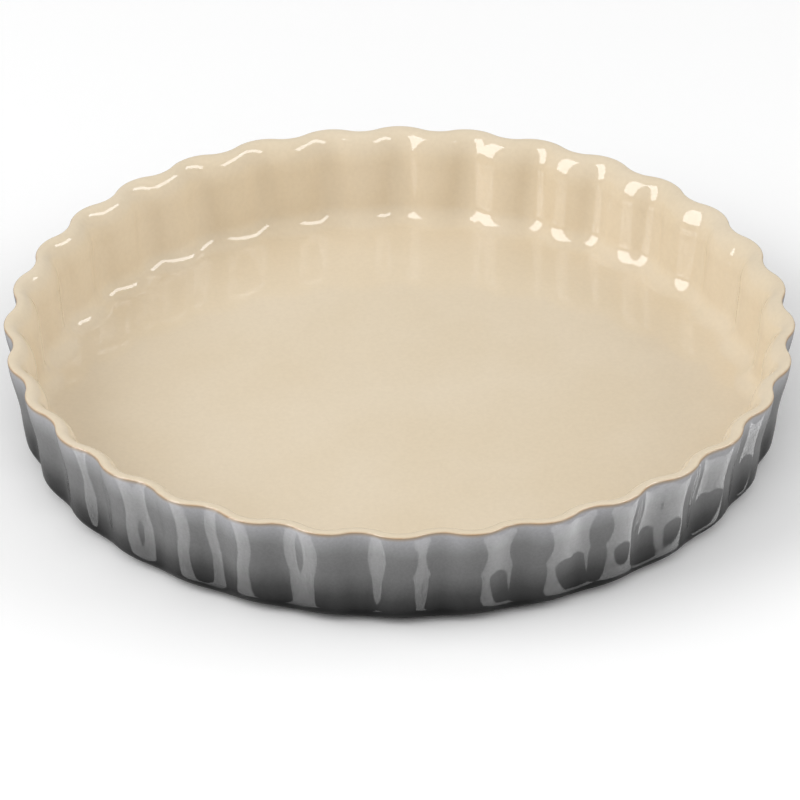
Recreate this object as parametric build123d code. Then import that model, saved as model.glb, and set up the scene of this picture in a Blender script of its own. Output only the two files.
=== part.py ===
from build123d import *

import math
import os

# A fluted stoneware pie dish with a flared rim: a one-piece fired dish with a cream glaze inside and over
# the rim, a grey second coat of glaze on its outside, and a glazed patch under its base, inside the bare
# foot ring.

# Driving dimensions in millimetres and degrees. The origin is the centre of the foot, on the table.
rim_diameter = 280.0  # over the flute crests, where the outer wall meets the rim's level
dish_height = 41.5
wall_thickness = 5.0  # below the flare, from the grey glaze to the inner wall, measured level
wall_draft = 6.5  # how far the wall leans outwards
floor_height = 8.0  # of the floor inside, above the table

# Flared rim, its heights counted down from the top
flare_width = 2.2  # how far the rim stands out from the line of the wall
flare_height = 14.5  # over which the flare opens
lip_height = 11.0  # of the rounding that leads from the inner wall to the top of the rim
lip_turn_shares = (0.8, 1)  # of its quarter turn at the upper edges of its two conical bands
land_width = 1.5  # of the flat top, measured from the outside of the grey glaze

# Flutes
flute_count = 32
flute_depth = 3.1  # crest to valley at the rim
crest_share = 0.6  # of a flute's curve that belongs to the crest arc, the rest to the valley arc
fade_power = 4.0  # how fast the flutes come up from the plain foot
run_count = 2  # straight runs to each arc where the body and the grey coat meet

# Rounded edges at the foot of the wall, outside and inside, each made of conical bands
heel_radius = 10.0
heel_turn_shares = (0, 0.46, 1)
floor_fillet_radius = 8.0
fillet_turn_shares = (0, 0.35, 1)

# Grey glaze coat
glaze_thickness = 0.5
glaze_drop = 0.6  # from the top of the rim down to the edge of the coat

# Bare foot ring, its outer wall under the lowest edge of the heel
foot_width = 6.0
foot_height = 1.5

overrun = 1.0  # how far the foot ring's solid runs on into the dish

half_pitch = 180 / flute_count
draft_angle = math.radians(wall_draft)
wall_turn = math.pi / 2 - draft_angle  # from level to the slope of the wall
heel_level = foot_height + heel_radius
fillet_level = floor_height + floor_fillet_radius


def line_radius(level):
    """Mean radius of the straight line of the glazed outer wall at a height, without the flare."""
    rim_radius = (rim_diameter - flute_depth) / 2
    return rim_radius - flare_width - (dish_height - level) * math.tan(draft_angle)


def wall_radius(level):
    """Mean radius of the glazed outer wall at a height, flare included."""
    return line_radius(level) + flare_width * max(0, 1 - (dish_height - level) / flare_height)


def depth_at(level):
    """Flute depth at a height: none at the top of the foot ring, full at the rim."""
    return flute_depth * (1 - ((dish_height - level) / (dish_height - foot_height)) ** fade_power)


def flute_marks(mean_radius, depth, inset):
    """Crest, joint and valley of half a flute whose crest lies on the X axis, moved in by inset.

    Two arcs run from the crest to the valley, square to the radius at both ends and tangent to each
    other at the joint. Each mark moves along its own normal, so an inset arc keeps its centre."""
    crest = Vector(mean_radius + depth / 2, 0)
    valley = Vector(mean_radius - depth / 2, 0).rotate(Axis.Z, half_pitch)
    crest_tangent = Vector(0, 1)
    valley_tangent = crest_tangent.rotate(Axis.Z, half_pitch)
    valley_share = 1 - crest_share
    chord = valley - crest
    along = chord.dot(crest_tangent * crest_share + valley_tangent * valley_share)
    bend = 2 * crest_share * valley_share * (1 - crest_tangent.dot(valley_tangent))
    reach = chord.dot(chord) / (along + math.sqrt(along**2 + bend * chord.dot(chord)))
    crest_corner = crest + crest_tangent * (reach * crest_share)
    valley_corner = valley - valley_tangent * (reach * valley_share)
    joint = crest_corner * valley_share + valley_corner * crest_share
    joint_normal = (valley_corner - crest_corner).normalized().rotate(Axis.Z, -90)
    return crest - Vector(inset, 0), joint - joint_normal * inset, valley - valley.normalized() * inset


def flute_arcs(mean_radius, depth, inset):
    """The crest arc and the valley arc of one flute, at level zero."""
    crest, joint, valley = flute_marks(mean_radius, depth, inset)
    joint_before = Vector(joint.X, -joint.Y)
    joint_after = joint_before.rotate(Axis.Z, 2 * half_pitch)
    return ThreePointArc(joint_before, crest, joint), ThreePointArc(joint, valley, joint_after)


def ring_of(flute, level):
    """A closed level outline from the edges of one flute."""
    edges = [edge.rotate(Axis.Z, 2 * half_pitch * turn) for turn in range(flute_count) for edge in flute]
    return Wire(edges).moved(Location((0, 0, level)))


def fluted_outline(level, mean_radius, depth, inset=0.0):
    """A closed level outline with one crest arc and one valley arc to a flute."""
    return ring_of(flute_arcs(mean_radius, depth, inset), level)


def hidden_outline(level, mean_radius, depth):
    """The outline of the body under the grey coat, with straight runs between points of the arcs."""
    runs = []
    for arc in flute_arcs(mean_radius, depth, 0.0):
        for run in range(run_count):
            runs.append(Edge.make_line(arc @ (run / run_count), arc @ ((run + 1) / run_count)))
    return ring_of(runs, level)


def heel_centre_radius():
    """Mean radius of the centre of the heel's rounding, which is also the foot ring's outer radius."""
    tangent_level = heel_level - heel_radius * math.sin(draft_angle)
    return line_radius(tangent_level) - heel_radius * math.cos(draft_angle)


def outer_block(make_outline, skin, top_drop):
    """The outside as a filled block, round the heel and up the flared wall to top_drop below the rim.

    Skin moves it in under the surface of the glaze. It starts that far outside the foot ring too, so
    that the coat has its full thickness where it ends against the ring."""
    outlines = []
    for share in heel_turn_shares:
        turned = wall_turn * share
        level = heel_level - (heel_radius - skin) * math.cos(turned)
        mean_radius = heel_centre_radius() + skin + (heel_radius - 2 * skin) * math.sin(turned)
        outlines.append(make_outline(level, mean_radius, depth_at(level - skin * math.cos(turned))))
    level_skin = skin / math.cos(draft_angle)
    for drop in (flare_height, top_drop):
        level = dish_height - drop
        outlines.append(make_outline(level, wall_radius(level) - level_skin, depth_at(level)))
    return Solid.make_loft(outlines, ruled=True)


def cavity():
    """The room inside the dish as a filled block: floor fillet, fluted wall and the lip's rounding.

    Every outline is inset from an outline of the outer wall, so each flute's pocket narrows towards the
    floor and opens towards the rim."""
    wall_foot = fillet_level - floor_fillet_radius * math.sin(draft_angle)
    foot_radius = line_radius(wall_foot)
    fillet_radius = foot_radius - wall_thickness - floor_fillet_radius * math.cos(draft_angle)
    outlines = []
    for share in fillet_turn_shares:
        turned = wall_turn * share
        level = fillet_level - floor_fillet_radius * math.cos(turned)
        inset = foot_radius - fillet_radius - floor_fillet_radius * math.sin(turned)
        outlines.append(fluted_outline(level, foot_radius, depth_at(wall_foot), inset))
    wall_head = dish_height - lip_height
    head_radius = line_radius(wall_head)
    outlines.append(fluted_outline(wall_head, head_radius, depth_at(wall_head), wall_thickness))
    land_radius = wall_radius(dish_height) - land_width
    lip_width = land_radius - head_radius + wall_thickness
    for share in lip_turn_shares:
        turned = math.pi / 2 * share
        level = wall_head + lip_height * math.sin(turned)
        inset = wall_radius(level) - land_radius + lip_width * math.cos(turned)
        outlines.append(fluted_outline(level, wall_radius(level), depth_at(level), inset))
    return Solid.make_loft(outlines, ruled=True)


def build():
    """Every separate solid of the dish, by node name."""
    dish = outer_block(hidden_outline, glaze_thickness, 0.0)
    coat = outer_block(fluted_outline, 0.0, glaze_drop)
    foot_radius = heel_centre_radius()
    foot = extrude(Circle(foot_radius), amount=foot_height + glaze_thickness + overrun)
    recess = extrude(Circle(foot_radius - foot_width), amount=foot_height + glaze_thickness)
    room_below = extrude(Circle(foot_radius - foot_width), amount=foot_height)
    return {
        "stoneware_dish": dish + foot - recess - cavity(),
        "exterior_glaze": coat - dish - foot,
        "underside_glaze": recess - room_below,
    }


os.makedirs("parts", exist_ok=True)
for name, shape in build().items():
    shape.label = name
    export_step(shape, f"parts/{name}.step")
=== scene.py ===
from collections import namedtuple
import math

import bpy
from mathutils import Euler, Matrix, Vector


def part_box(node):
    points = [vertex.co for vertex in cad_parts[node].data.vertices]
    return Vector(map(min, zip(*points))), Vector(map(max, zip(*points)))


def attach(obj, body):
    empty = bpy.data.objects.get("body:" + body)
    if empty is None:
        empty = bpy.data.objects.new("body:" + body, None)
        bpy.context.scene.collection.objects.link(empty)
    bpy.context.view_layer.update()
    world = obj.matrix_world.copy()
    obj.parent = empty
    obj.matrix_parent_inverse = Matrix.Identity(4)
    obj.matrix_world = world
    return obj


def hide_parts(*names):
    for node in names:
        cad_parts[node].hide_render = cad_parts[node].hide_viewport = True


# A fluted stoneware pie dish with a flared rim: cream glaze inside and over the rim, grey glaze outside
# that darkens to charcoal at the foot, and a bare clay foot ring. Metres, +Z up, the foot on the floor.

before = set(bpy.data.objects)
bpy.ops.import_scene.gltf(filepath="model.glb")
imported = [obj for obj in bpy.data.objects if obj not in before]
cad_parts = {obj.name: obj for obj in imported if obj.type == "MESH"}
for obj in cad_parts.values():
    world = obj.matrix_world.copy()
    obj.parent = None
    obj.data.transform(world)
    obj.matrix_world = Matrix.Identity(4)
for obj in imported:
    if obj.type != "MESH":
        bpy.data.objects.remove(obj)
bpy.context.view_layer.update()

MM = 0.001

# The dish, in metres and degrees. Next to the foot its outside is fuller than the solids', as in the
# photograph: the wall leans less, the heel is tighter and the flutes stay deep further down.
coat_low, coat_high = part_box("exterior_glaze")
dish_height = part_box("stoneware_dish")[1].z
foot_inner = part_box("underside_glaze")[1].x
coat_base = coat_low.z
coat_edge = coat_high.z
rim_radius = coat_high.x  # over the flute crests, at the edge of the coat
flute_count = 32
flute_depth = 3.1 * MM  # crest to valley at the rim
crest_share = 0.6  # of a flute's curve that belongs to the crest arc, the rest to the valley arc
outer_fade_power = 7.0  # how fast the flutes come up from the plain foot, outside and inside
inner_fade_power = 4.0
wall_draft = 5.9  # how far the wall leans outwards
wall_thickness = 5.0 * MM
flare_width = 2.1 * MM  # how far the rim stands out from the line of the wall
flare_foot = 20.0 * MM  # heights between which the flare opens
flare_head = 40.5 * MM
floor_height = 8.0 * MM
heel_radius = 7.0 * MM
floor_fillet_radius = 8.0 * MM
lip_height = 12.0 * MM  # of the rounding that leads from the inner wall to the rim's land
land_width = 1.5 * MM  # from the outside of the wall to the lip's rounding, at the rim's level
outer_edge_radius = 0.8 * MM
thinning_power = 3  # how late the cream glaze runs thin on its way round the rim's outer edge
glaze_thickness = 0.5 * MM
coat_edge_radius = 0.15 * MM
seam_gap = 0.02 * MM  # between the cream glaze and the edge of the grey coat
foot_width = 6.0 * MM
foot_edge_radius = 0.5 * MM

# How finely the curves are drawn
arc_steps = 6  # to each of a flute's half arcs
flute_steps = 4 * arc_steps
corner_steps = 10  # round the heel and the floor fillet
lip_steps = 16
edge_steps = 6  # round the rim's outer edge and the foot ring's edges
wall_steps = 12
flare_steps = 18
floor_rings = 10
seam_merge = 0.002 * MM  # points of neighbouring flutes nearer than this become one

half_pitch = math.pi / flute_count
draft_angle = math.radians(wall_draft)
draft_cos = math.cos(draft_angle)
draft_sin = math.sin(draft_angle)


def smooth_step(share):
    """A share from 0 to 1, eased at both ends."""
    share = min(max(share, 0.0), 1.0)
    return share * share * (3 - 2 * share)


def line_radius(level):
    """Mean radius of the straight line of the glazed outer wall at a height, without the flare."""
    return rim_radius - flute_depth / 2 - flare_width - (coat_edge - level) * math.tan(draft_angle)


def wall_radius(level):
    """Mean radius of the glazed outer wall at a height, flare included."""
    return line_radius(level) + flare_width * smooth_step((level - flare_foot) / (flare_head - flare_foot))


def depth_at(level, power=outer_fade_power):
    """Flute depth at a height: none at the top of the foot ring, full at the rim."""
    return flute_depth * (1 - ((dish_height - level) / (dish_height - coat_base)) ** power)


def turned(point, angle):
    """A flat point turned about the dish's axis."""
    x, y = point
    return Vector((x * math.cos(angle) - y * math.sin(angle), x * math.sin(angle) + y * math.cos(angle)))


def arc_points(start, corner, end, start_normal, end_normal, inset, steps):
    """Points on an arc from its end points and the corner of its tangents, moved in along its normals."""
    weight = math.sqrt((1 + start_normal.dot(end_normal)) / 2)
    start = start - start_normal * inset
    end = end - end_normal * inset
    corner = corner - (start_normal + end_normal) * (inset / (1 + start_normal.dot(end_normal)))
    points = []
    for step in range(steps + 1):
        share = step / steps
        to_start = (1 - share) ** 2
        to_corner = 2 * weight * share * (1 - share)
        to_end = share**2
        whole = to_start + to_corner + to_end
        points.append((start * to_start + corner * to_corner + end * to_end) / whole)
    return points


def flute_points(mean_radius, depth, inset):
    """One flute from valley to valley about the X axis: two half arcs each side, tangent where they join."""
    crest = Vector((mean_radius + depth / 2, 0.0))
    valley = turned((mean_radius - depth / 2, 0.0), half_pitch)
    crest_tangent = Vector((0.0, 1.0))
    valley_tangent = turned(crest_tangent, half_pitch)
    valley_share = 1 - crest_share
    chord = valley - crest
    along = chord.dot(crest_tangent * crest_share + valley_tangent * valley_share)
    bend = 2 * crest_share * valley_share * (1 - crest_tangent.dot(valley_tangent))
    reach = chord.dot(chord) / (along + math.sqrt(along**2 + bend * chord.dot(chord)))
    crest_corner = crest + crest_tangent * (reach * crest_share)
    valley_corner = valley - valley_tangent * (reach * valley_share)
    joint = crest_corner * valley_share + valley_corner * crest_share
    joint_normal = turned((valley_corner - crest_corner).normalized(), -math.pi / 2)
    crest_normal = Vector((1.0, 0.0))
    valley_normal = valley.normalized()
    upper = arc_points(crest, crest_corner, joint, crest_normal, joint_normal, inset, arc_steps)
    upper += arc_points(joint, valley_corner, valley, joint_normal, valley_normal, inset, arc_steps)[1:]
    lower = [Vector((point.x, -point.y)) for point in reversed(upper[1:])]
    return lower + upper


# One level outline of a piece: the mean radius and depth of its flutes, how far it is moved in from them,
# how much it is shrunk towards the axis, how bare its clay is and how thin its glaze
outline_fields = "mean_radius level depth inset shrink bare thin"
Station = namedtuple("Station", outline_fields, defaults=(0.0, 0.0, 1.0, 0.0, 0.0))

# Heights and radii of the heel, the foot, the floor fillet, the lip and the rim's outer edge
heel_level = coat_base + heel_radius
heel_tangent_level = heel_level - heel_radius * draft_sin
heel_centre = line_radius(heel_tangent_level) - heel_radius * draft_cos
base_level = coat_base + glaze_thickness
foot_outer = foot_inner + foot_width
fillet_level = floor_height + floor_fillet_radius
fillet_tangent_level = fillet_level - floor_fillet_radius * draft_sin
fillet_base = line_radius(fillet_tangent_level)
fillet_centre = fillet_base - wall_thickness - floor_fillet_radius * draft_cos
lip_foot_level = dish_height - lip_height
land_radius = wall_radius(dish_height) - land_width
lip_width = land_radius - line_radius(lip_foot_level) + wall_thickness
edge_level = dish_height - outer_edge_radius
edge_centre = wall_radius(edge_level) - outer_edge_radius
coat_inset = glaze_thickness / draft_cos


def angles(first, last, steps):
    """Evenly spaced angles in radians from two in degrees, both ends taken."""
    return [math.radians(first + (last - first) * step / steps) for step in range(steps + 1)]


def levels(first, last, steps):
    """Evenly spaced heights between two, both ends left out."""
    return [first + (last - first) * step / steps for step in range(1, steps)]


def inner_station(radius, level):
    """An outline of the inside or the rim, moved in from the flutes of the outer wall at its height."""
    depth = depth_at(level, inner_fade_power)
    return Station(wall_radius(level), level, depth, wall_radius(level) - radius)


def fillet_station(radius, level, shrink=1.0):
    """An outline of the floor fillet, moved in from the flutes at the fillet's upper edge."""
    depth = depth_at(fillet_tangent_level, inner_fade_power)
    return Station(fillet_base, level, depth, fillet_base - radius, shrink)


def inside_stations():
    """From the middle of the floor up the inner wall and over the lip to the rim's land."""
    stations = []
    for ring in range(floor_rings):
        stations.append(fillet_station(fillet_centre, floor_height, ring / floor_rings))
    for angle in angles(-90, -wall_draft, corner_steps):
        radius = fillet_centre + floor_fillet_radius * math.cos(angle)
        stations.append(fillet_station(radius, fillet_level + floor_fillet_radius * math.sin(angle)))
    for level in levels(fillet_tangent_level, lip_foot_level, wall_steps):
        stations.append(inner_station(line_radius(level) - wall_thickness, level))
    for angle in angles(0, 90, lip_steps):
        radius = land_radius - lip_width * math.cos(angle)
        stations.append(inner_station(radius, lip_foot_level + lip_height * math.sin(angle)))
    return stations


def rim_edge_stations():
    """Round the rim's outer edge to the grey coat, where the cream glaze runs thin."""
    stations = []
    last = math.degrees(math.asin((coat_edge + seam_gap - edge_level) / outer_edge_radius))
    for angle in angles(90, last, edge_steps):
        radius = edge_centre + outer_edge_radius * math.cos(angle)
        station = inner_station(radius, edge_level + outer_edge_radius * math.sin(angle))
        stations.append(station._replace(thin=math.cos(angle) ** thinning_power))
    return stations


def skin_stations():
    """The clay under the grey coat, from the coat's upper edge down the wall and round the heel."""
    stations = []
    skin_radius = heel_radius - glaze_thickness
    for level in [coat_edge + seam_gap / 2] + levels(coat_edge, heel_tangent_level, wall_steps):
        stations.append(Station(wall_radius(level) - coat_inset, level, depth_at(level), bare=1.0))
    for angle in angles(-wall_draft, -90, corner_steps):
        surface_level = heel_level + heel_radius * math.sin(angle)
        radius = heel_centre + skin_radius * math.cos(angle)
        level = heel_level + skin_radius * math.sin(angle)
        stations.append(Station(radius, level, depth_at(surface_level), bare=1.0))
    return stations + [Station(foot_outer, base_level, bare=1.0)]


def foot_stations():
    """Round the bare foot ring and in to the middle of the base."""
    stations = []
    for centre, first, last in (
        (foot_outer - foot_edge_radius, 0, -90),
        (foot_inner + foot_edge_radius, -90, -180),
    ):
        for angle in angles(first, last, edge_steps):
            radius = centre + foot_edge_radius * math.cos(angle)
            stations.append(Station(radius, foot_edge_radius * (1 + math.sin(angle)), bare=1.0))
    stations.append(Station(foot_inner, base_level, bare=1.0))
    stations.append(Station(0.0, base_level, bare=1.0))
    return stations


def coat_stations():
    """The grey coat as a closed section: down the outside from its edge under the rim, and back up."""
    stations = []
    for angle in angles(90, 0, edge_steps // 2):
        level = coat_edge - coat_edge_radius * (1 - math.sin(angle))
        radius = edge_centre + math.sqrt(outer_edge_radius**2 - (level - edge_level) ** 2)
        station = inner_station(radius - coat_edge_radius * (1 - math.cos(angle)), level)
        stations.append(station._replace(thin=1.0))
    for level in levels(edge_level, flare_foot, flare_steps) + [flare_foot]:
        stations.append(Station(wall_radius(level), level, depth_at(level)))
    for level in levels(flare_foot, heel_tangent_level, wall_steps // 2):
        stations.append(Station(wall_radius(level), level, depth_at(level)))
    for angle in angles(-wall_draft, -90, corner_steps * 2):
        level = heel_level + heel_radius * math.sin(angle)
        stations.append(Station(heel_centre + heel_radius * math.cos(angle), level, depth_at(level)))
    stations.append(Station(foot_outer, coat_base))
    hidden = [station._replace(bare=0.0) for station in reversed(skin_stations())]
    return stations + hidden[:-1] + [hidden[-1]._replace(level=coat_edge)]


def patch_stations():
    """The glazed patch under the base, inside the foot ring."""
    stations = [Station(0.0, base_level), Station(foot_inner, base_level), Station(foot_inner, coat_base)]
    for ring in reversed(range(floor_rings)):
        stations.append(Station(foot_inner * ring / floor_rings, coat_base))
    return stations


def flute_sector(name, stations, closed):
    """The mesh of one flute of a piece, with its bare and thin attributes and its two sides left open.

    A station on the dish's axis is a single point. Closed joins the last station to the first."""
    vertices = []
    rows = []
    for station in stations:
        if station.mean_radius * station.shrink == 0.0:
            rows.append([len(vertices)] * (flute_steps + 1))
            points = [Vector((0.0, 0.0))]
        else:
            points = flute_points(station.mean_radius, station.depth, station.inset)
            rows.append(list(range(len(vertices), len(vertices) + len(points))))
        for point in points:
            vertices.append((point.x * station.shrink, point.y * station.shrink, station.level))
    if closed:
        rows.append(rows[0])
    faces = []
    for row, next_row in zip(rows, rows[1:]):
        for column in range(flute_steps):
            corners = (row[column], next_row[column], next_row[column + 1], row[column + 1])
            face = list(dict.fromkeys(corners))
            if len(face) > 2:
                faces.append(face)
    mesh = bpy.data.meshes.new(name)
    mesh.from_pydata(vertices, [], faces)
    for label in ("bare", "thin"):
        values = [0.0] * len(vertices)
        for station, row in zip(stations, rows):
            for vertex in row:
                values[vertex] = getattr(station, label)
        mesh.attributes.new(label, "FLOAT", "POINT").data.foreach_set("value", values)
    mesh.polygons.foreach_set("use_smooth", [True] * len(faces))
    return mesh


def add_node(tree, kind, settings=None, **links):
    """Adds a node with its settings, and fills its inputs with links or values.

    An input goes by its name, with _ for a space, or by its place after a _, as in _0."""
    node = tree.nodes.new(kind)
    for name, value in (settings or {}).items():
        setattr(node, name, value)
    for name, value in links.items():
        key = int(name[1:]) if name[0] == "_" and name[1:].isdigit() else name.replace("_", " ")
        socket = node.inputs[key]
        if isinstance(value, bpy.types.NodeSocket):
            tree.links.new(value, socket)
        else:
            socket.default_value = value
    return node


# Settings that several nodes share
product = {"operation": "MULTIPLY"}
of_colours = {"data_type": "RGBA"}


def ring_of_flutes_tree():
    """Turns one flute into the whole piece: a copy at each pitch, joined, and given its material."""
    tree = bpy.data.node_groups.new("ring of flutes", "GeometryNodeTree")
    face = tree.interface
    face.new_socket("Geometry", in_out="INPUT", socket_type="NodeSocketGeometry")
    face.new_socket("Flutes", in_out="INPUT", socket_type="NodeSocketInt")
    face.new_socket("Seam", in_out="INPUT", socket_type="NodeSocketFloat")
    face.new_socket("Glaze", in_out="INPUT", socket_type="NodeSocketMaterial")
    face.new_socket("Geometry", in_out="OUTPUT", socket_type="NodeSocketGeometry")
    given = tree.nodes.new("NodeGroupInput").outputs
    pitch = add_node(tree, "ShaderNodeMath", {"operation": "DIVIDE"}, _0=2 * math.pi, _1=given["Flutes"])
    index = add_node(tree, "GeometryNodeInputIndex")
    angle = add_node(tree, "ShaderNodeMath", product, _0=index.outputs[0], _1=pitch.outputs[0])
    axis = (0.0, 0.0, 1.0)
    turn = add_node(tree, "FunctionNodeAxisAngleToRotation", Axis=axis, Angle=angle.outputs[0])
    spots = add_node(tree, "GeometryNodePoints", Count=given["Flutes"])
    copies = add_node(
        tree,
        "GeometryNodeInstanceOnPoints",
        Points=spots.outputs[0],
        Instance=given["Geometry"],
        Rotation=turn.outputs[0],
    )
    real = add_node(tree, "GeometryNodeRealizeInstances", Geometry=copies.outputs[0])
    joined = add_node(tree, "GeometryNodeMergeByDistance", Geometry=real.outputs[0], Distance=given["Seam"])
    finish = add_node(tree, "GeometryNodeSetMaterial", Geometry=joined.outputs[0], Material=given["Glaze"])
    result = tree.nodes.new("NodeGroupOutput")
    tree.links.new(finish.outputs[0], result.inputs[0])
    return tree


def linear(hex_colour):
    """An sRGB hex colour as linear red, green, blue and alpha."""
    channels = [int(hex_colour[place : place + 2], 16) / 255 for place in (1, 3, 5)]
    return [c / 12.92 if c <= 0.04045 else ((c + 0.055) / 1.055) ** 2.4 for c in channels] + [1.0]


def new_material(name):
    """An empty node material and its Principled shader, joined to the output."""
    material = bpy.data.materials.new(name)
    material.use_nodes = True
    tree = material.node_tree
    tree.nodes.clear()
    shader = add_node(tree, "ShaderNodeBsdfPrincipled")
    add_node(tree, "ShaderNodeOutputMaterial", Surface=shader.outputs[0])
    return material, tree, shader


# Levels of the noise between which a pattern runs from one end of its range to the other
soft_cuts = (0.3, 0.7)
firm_cuts = (0.35, 0.65)
mottle_cuts = (0.35, 0.7)


def noise(tree, size, detail, stretch=(1.0, 1.0, 1.0)):
    """Noise on the object's own coordinates, its patches about as large as the size in metres."""
    place = add_node(tree, "ShaderNodeTexCoord")
    scaled = add_node(tree, "ShaderNodeMapping", Vector=place.outputs["Object"], Scale=stretch)
    pattern = add_node(tree, "ShaderNodeTexNoise", Vector=scaled.outputs[0], Scale=1 / size, Detail=detail)
    return pattern.outputs[0]


def patches(tree, size, cuts, ends=(0.0, 1.0), detail=2.0, stretch=(1.0, 1.0, 1.0)):
    """Noise as patches of a size, with values that run from one end to the other between its cuts."""
    held = add_node(
        tree,
        "ShaderNodeMapRange",
        Value=noise(tree, size, detail, stretch),
        From_Min=cuts[0],
        From_Max=cuts[1],
        To_Min=ends[0],
        To_Max=ends[1],
    )
    return held.outputs[0]


def relief(tree, shader, layers):
    """Bumps one over the other on a shader, each given by the size, detail and height of its waves."""
    normal = None
    for size, detail, height in layers:
        bump = add_node(tree, "ShaderNodeBump", Height=noise(tree, size, detail), Distance=height)
        if normal:
            tree.links.new(normal, bump.inputs["Normal"])
        normal = bump.outputs[0]
    tree.links.new(normal, shader.inputs["Normal"])


# Cream glaze: its patterns, its roughness from patch to patch, and the size, detail and height of the
# waves in its relief
cloud_size = 45 * MM
grain_size = 1.5 * MM
grain_share = 0.05  # of the specks' own colour in them
ragged_size = 5 * MM
honey_ends = (0.35, 1.0)  # how strong the honey brown is from patch to patch, where the glaze is thinnest
cream_gloss_size = 20 * MM
cream_roughness = (0.015, 0.035)
cream_relief = ((30 * MM, 1.0, 0.03 * MM), (2.5 * MM, 1.0, 0.002 * MM))

# Bare clay of the foot ring
grit_size = 0.9 * MM
clay_roughness = 0.8


def dipped_cream_glaze():
    """Opaque cream glaze, dipped and fired glossy, over buff stoneware that is bare under the foot."""
    material, tree, shader = new_material("cream_glaze_dipped_on_stoneware")
    thin = add_node(tree, "ShaderNodeAttribute", {"attribute_name": "thin"}).outputs["Fac"]
    bare = add_node(tree, "ShaderNodeAttribute", {"attribute_name": "bare"}).outputs["Fac"]
    # Broad clouds: where the dip lies thicker the cream is a shade paler and cooler
    clouds = patches(tree, cloud_size, firm_cuts, detail=3.0)
    thick_cream = linear("#E3D4BB")
    even_cream = linear("#E0D0B5")
    cream = add_node(tree, "ShaderNodeMix", of_colours, _0=clouds, _6=thick_cream, _7=even_cream).outputs[2]
    # Grain of the fired glaze, drawn coarser than the real 0.3 mm, so that it shows at all
    grain = patches(tree, grain_size, soft_cuts)
    specks = add_node(tree, "ShaderNodeMix", of_colours, _0=grain_share, _6=cream, _7=linear("#8A7350"))
    cream = add_node(tree, "ShaderNodeMix", of_colours, _0=grain, _6=cream, _7=specks.outputs[2]).outputs[2]
    # Where it runs thin over the rim's outer edge, the iron in the clay colours it honey brown
    ragged = patches(tree, ragged_size, soft_cuts, ends=honey_ends)
    honey = add_node(tree, "ShaderNodeMath", product, _0=thin, _1=ragged).outputs[0]
    cream = add_node(tree, "ShaderNodeMix", of_colours, _0=honey, _6=cream, _7=linear("#BC8C5C")).outputs[2]
    # Bare clay: buff, grainy and matt where the foot was wiped before the firing
    grit = patches(tree, grit_size, soft_cuts, detail=4.0)
    pale_clay = linear("#B29A7C")
    dark_clay = linear("#8F785C")
    clay = add_node(tree, "ShaderNodeMix", of_colours, _0=grit, _6=pale_clay, _7=dark_clay).outputs[2]
    colour = add_node(tree, "ShaderNodeMix", of_colours, _0=bare, _6=cream, _7=clay)
    tree.links.new(colour.outputs[2], shader.inputs["Base Color"])
    gloss = patches(tree, cream_gloss_size, soft_cuts, ends=cream_roughness)
    rough = add_node(tree, "ShaderNodeMix", {"data_type": "FLOAT"}, _0=bare, _2=gloss, _3=clay_roughness)
    tree.links.new(rough.outputs[0], shader.inputs["Roughness"])
    # Slow waves of the fired glaze bend the lamps' reflections a little, and a fine orange peel lies on them
    relief(tree, shader, cream_relief)
    return material


# Colours of the grey coat from the foot to the rim, with their heights as shares of the coat's height; the
# charcoal is the glaze's own
grey_and_foot_shade_shares = (
    # Painted shade: the two near-black stops at the very foot stand in for the dark contact shadow under the
    # heel
    (0.0, "#060606"),
    (0.1, "#0C0C0C"),
    (0.28, "#505050"),
    (0.5, "#8A8A8A"),
    (0.75, "#A0A0A0"),
    (0.9, "#BEBEC0"),
    (1.0, "#CECED2"),
)

# Grey glaze: the runs of its spray, its droplets, and its roughness and relief, given as the cream's are
run_size = 12 * MM
run_stretch = (1.0, 1.0, 0.35)  # the smaller, the longer the runs are that way
run_wander = 1.4 * MM  # up and down
droplet_size = 1.0 * MM
droplet_share = 0.08  # of the droplets' own colour in them
grey_gloss_size = 15 * MM
grey_roughness = (0.03, 0.07)
grey_relief = ((18 * MM, 1.0, 0.02 * MM), (2 * MM, 1.0, 0.0015 * MM))


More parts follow.
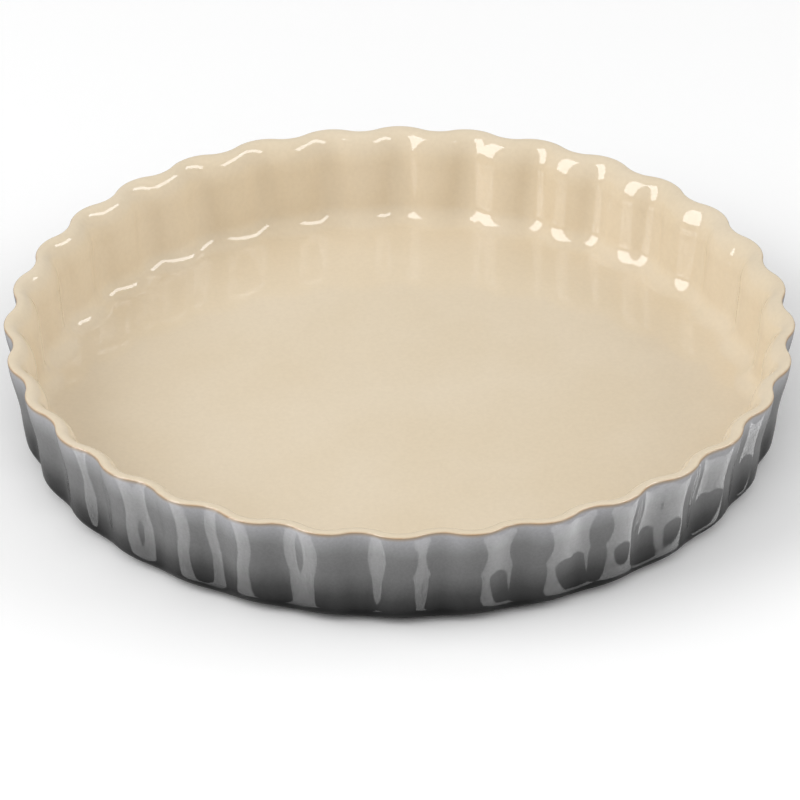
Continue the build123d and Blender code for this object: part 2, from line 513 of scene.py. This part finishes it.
def sprayed_grey_glaze():
    """Glossy grey glaze, sprayed from pale grey under the rim to charcoal at the foot, and near-black at the
    very foot as painted contact shade.
    """
    material, tree, shader = new_material("grey_glaze_to_charcoal_with_painted_foot_shade")
    place = add_node(tree, "ShaderNodeTexCoord")
    height = add_node(tree, "ShaderNodeSeparateXYZ", Vector=place.outputs["Object"]).outputs["Z"]
    # The spray's edge wanders by a millimetre or two, in soft runs longer than they are wide
    runs = patches(tree, run_size, soft_cuts, ends=(-run_wander, run_wander), stretch=run_stretch)
    level = add_node(tree, "ShaderNodeMath", {"operation": "ADD"}, _0=height, _1=runs).outputs[0]
    risen = add_node(tree, "ShaderNodeMapRange", Value=level, From_Min=coat_base, From_Max=coat_edge)
    ramp = add_node(tree, "ShaderNodeValToRGB", Fac=risen.outputs[0])
    stops = ramp.color_ramp.elements
    while len(stops) < len(grey_and_foot_shade_shares):
        stops.new(1.0)
    for stop, (share, colour) in zip(stops, grey_and_foot_shade_shares):
        stop.position = share
        stop.color = linear(colour)
    grey = ramp.outputs[0]
    # Droplets of the spray, drawn coarser than the real 0.2 mm
    droplets = patches(tree, droplet_size, firm_cuts)
    dotted = add_node(tree, "ShaderNodeMix", of_colours, _0=droplet_share, _6=grey, _7=linear("#1A1A1A"))
    grey = add_node(tree, "ShaderNodeMix", of_colours, _0=droplets, _6=grey, _7=dotted.outputs[2]).outputs[2]
    # The coat's rounded upper edge, where the clay's warmth comes through
    thin = add_node(tree, "ShaderNodeAttribute", {"attribute_name": "thin"}).outputs["Fac"]
    edged = add_node(tree, "ShaderNodeMix", of_colours, _0=thin, _6=grey, _7=linear("#B3A08C"))
    tree.links.new(edged.outputs[2], shader.inputs["Base Color"])
    gloss = patches(tree, grey_gloss_size, soft_cuts, ends=grey_roughness)
    tree.links.new(gloss, shader.inputs["Roughness"])
    relief(tree, shader, grey_relief)
    return material


# Glaze under the base: its mottling, and its roughness and relief, given as the cream's are
mottle_size = 8 * MM
base_roughness = (0.1, 0.25)
base_relief = ((6 * MM, 2.0, 0.05 * MM),)


def base_glaze():
    """Charcoal glaze wiped thin under the base, mottled and rougher where the clay shows through."""
    material, tree, shader = new_material("charcoal_glaze_wiped_under_base")
    mottle = patches(tree, mottle_size, mottle_cuts, detail=4.0)
    wiped = linear("#454240")
    colour = add_node(tree, "ShaderNodeMix", of_colours, _0=mottle, _6=linear("#2B2B2B"), _7=wiped)
    tree.links.new(colour.outputs[2], shader.inputs["Base Color"])
    smooth, worn = base_roughness
    rough = add_node(tree, "ShaderNodeMapRange", Value=mottle, To_Min=smooth, To_Max=worn)
    tree.links.new(rough.outputs[0], shader.inputs["Roughness"])
    relief(tree, shader, base_relief)
    return material


def ring_piece(name, stations, closed, glaze, node):
    """A whole piece from the section of one flute, standing for its CAD node."""
    piece = bpy.data.objects.new(name, flute_sector(name, stations, closed))
    bpy.context.scene.collection.objects.link(piece)
    modifier = piece.modifiers.new("ring of flutes", "NODES")
    modifier.node_group = flutes_tree
    values = {"Flutes": flute_count, "Seam": seam_merge, "Glaze": glaze}
    for item in flutes_tree.interface.items_tree:
        if item.in_out == "INPUT" and item.name in values:
            modifier[item.identifier] = values[item.name]
    whole = bpy.data.meshes.new_from_object(piece.evaluated_get(bpy.context.evaluated_depsgraph_get()))
    whole.name = name
    piece.modifiers.clear()
    piece.data = whole
    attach(piece, "root")
    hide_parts(node)


# Camera: a long lens, fitted to the photograph in pixels of its frame. Its rise over the floor is in
# degrees, its distance and reach in metres, and its sensor in millimetres.
frame_pixels = 800
focal_pixels = 7715
rim_middle_pixel = (399.3, 322.6)  # where the middle of the rim's circle is seen
camera_rise = 31.35
camera_distance = 2.7257  # from the middle of the rim's circle
camera_reach = 20.0
sensor_width = 36.0


def add_camera():
    """A long-lens camera above the front, aimed so that the rim's middle falls on its pixel."""
    data = bpy.data.cameras.new("camera")
    data.sensor_width = sensor_width
    data.lens = sensor_width * focal_pixels / frame_pixels
    data.clip_end = camera_reach
    camera = bpy.data.objects.new("camera", data)
    bpy.context.scene.collection.objects.link(camera)
    rise = math.radians(camera_rise)
    off_x = rim_middle_pixel[0] - frame_pixels / 2
    off_y = frame_pixels / 2 - rim_middle_pixel[1]
    away = Vector((0.0, -math.cos(rise), math.sin(rise)))
    camera.location = Vector((0.0, 0.0, dish_height)) + camera_distance * away
    tilt = math.pi / 2 - rise - math.atan(off_y / focal_pixels)
    camera.rotation_euler = Euler((tilt, 0.0, math.atan(off_x / focal_pixels)))
    bpy.context.scene.camera = camera


# Studio. The fill is the world's light on the dish. The floor is white to the camera and darker to all
# other rays, and only the glaze's reflections see its polish, which comes up between two radii.
background_white = 1.0
fill_strength = 0.5
floor_white = 1.0
floor_bounce = 0.3
floor_polish = 0.32  # share of a mirror in the floor that the glaze reflects
polish_roughness = 0.03
polish_start = 130 * MM
polish_full = 140 * MM
floor_reach = 4.0  # from the middle to each side
light_panel = (1.8, 1.4)  # width and height of the lamps' panels
tall_panel = (1.1, 2.6)
low_panel = (2.3, 0.5)


def add_floor():
    """A white floor that keeps the dish's shadow, with a polish that only the glaze's reflections see."""
    mesh = bpy.data.meshes.new("floor")
    corners = [(x * floor_reach, y * floor_reach, 0.0) for x, y in ((-1, -1), (1, -1), (1, 1), (-1, 1))]
    mesh.from_pydata(corners, [], [(0, 1, 2, 3)])
    floor = bpy.data.objects.new("floor", mesh)
    bpy.context.scene.collection.objects.link(floor)
    material = bpy.data.materials.new("white_floor")
    material.use_nodes = True
    tree = material.node_tree
    tree.nodes.clear()
    path = add_node(tree, "ShaderNodeLightPath")
    seen = path.outputs["Is Camera Ray"]
    paleness = add_node(tree, "ShaderNodeMapRange", Value=seen, To_Min=floor_bounce, To_Max=floor_white)
    matte = add_node(tree, "ShaderNodeBsdfDiffuse", Color=paleness.outputs[0])
    polish = add_node(tree, "ShaderNodeBsdfGlossy", Roughness=polish_roughness)
    place = add_node(tree, "ShaderNodeTexCoord").outputs["Object"]
    away = add_node(tree, "ShaderNodeVectorMath", {"operation": "LENGTH"}, _0=place).outputs["Value"]
    polished = add_node(
        tree,
        "ShaderNodeMapRange",
        Value=away,
        From_Min=polish_start,
        From_Max=polish_full,
        To_Max=floor_polish,
    )
    glossy = path.outputs["Is Glossy Ray"]
    share = add_node(tree, "ShaderNodeMath", product, _0=polished.outputs[0], _1=glossy).outputs[0]
    mixed = add_node(tree, "ShaderNodeMixShader", _0=share, _1=matte.outputs[0], _2=polish.outputs[0])
    add_node(tree, "ShaderNodeOutputMaterial", Surface=mixed.outputs[0])
    floor.data.materials.append(material)


def add_world():
    """White behind the dish to the camera, and an even studio light from all round."""
    world = bpy.data.worlds.new("studio")
    bpy.context.scene.world = world
    world.use_nodes = True
    tree = world.node_tree
    tree.nodes.clear()
    path = add_node(tree, "ShaderNodeLightPath")
    seen = path.outputs["Is Camera Ray"]
    strength = add_node(tree, "ShaderNodeMapRange", Value=seen, To_Min=fill_strength, To_Max=background_white)
    white = (1.0, 1.0, 1.0, 1.0)
    light = add_node(tree, "ShaderNodeBackground", Color=white, Strength=strength.outputs[0])
    add_node(tree, "ShaderNodeOutputWorld", Surface=light.outputs[0])


def add_lamp(name, azimuth, rise, distance, size, strength, window=False):
    """A panel lamp turned to the dish, at an azimuth and a rise in degrees and a distance in metres.

    The azimuth counts right from the camera's side. A window shows in the glaze's reflections and lights
    nothing else. Any other lamp gives light without a highlight."""
    data = bpy.data.lights.new(name, "AREA")
    data.shape = "RECTANGLE"
    data.size, data.size_y = size
    data.energy = strength * math.pi * size[0] * size[1]
    lamp = bpy.data.objects.new(name, data)
    bpy.context.scene.collection.objects.link(lamp)
    around = math.radians(azimuth)
    up = math.radians(rise)
    way = Vector((math.sin(around) * math.cos(up), -math.cos(around) * math.cos(up), math.sin(up)))
    lamp.location = way * distance
    lamp.rotation_euler = (-way).to_track_quat("-Z", "Y").to_euler()
    lamp.visible_diffuse = not window
    lamp.visible_glossy = window


add_camera()
flutes_tree = ring_of_flutes_tree()
dish_stations = inside_stations() + rim_edge_stations() + skin_stations() + foot_stations()
cream_glaze = dipped_cream_glaze()
ring_piece("glazed_dish", dish_stations, False, cream_glaze, "stoneware_dish")
ring_piece("grey_coat", coat_stations(), True, sprayed_grey_glaze(), "exterior_glaze")
ring_piece("base_patch", patch_stations(), False, base_glaze(), "underside_glaze")
add_floor()
add_world()
add_lamp("left_light", azimuth=-75, rise=36, distance=2.4, size=light_panel, strength=3.5)
add_lamp("right_light", azimuth=92, rise=25, distance=2.4, size=light_panel, strength=2.3)
add_lamp("front_light", azimuth=0, rise=50, distance=2.4, size=light_panel, strength=1.8)
add_lamp("left_window", azimuth=-63, rise=33, distance=2.4, size=tall_panel, strength=6.5, window=True)
add_lamp("right_window", azimuth=78, rise=50, distance=2.2, size=low_panel, strength=6.5, window=True)

bpy.context.scene.view_settings.view_transform = "Standard"
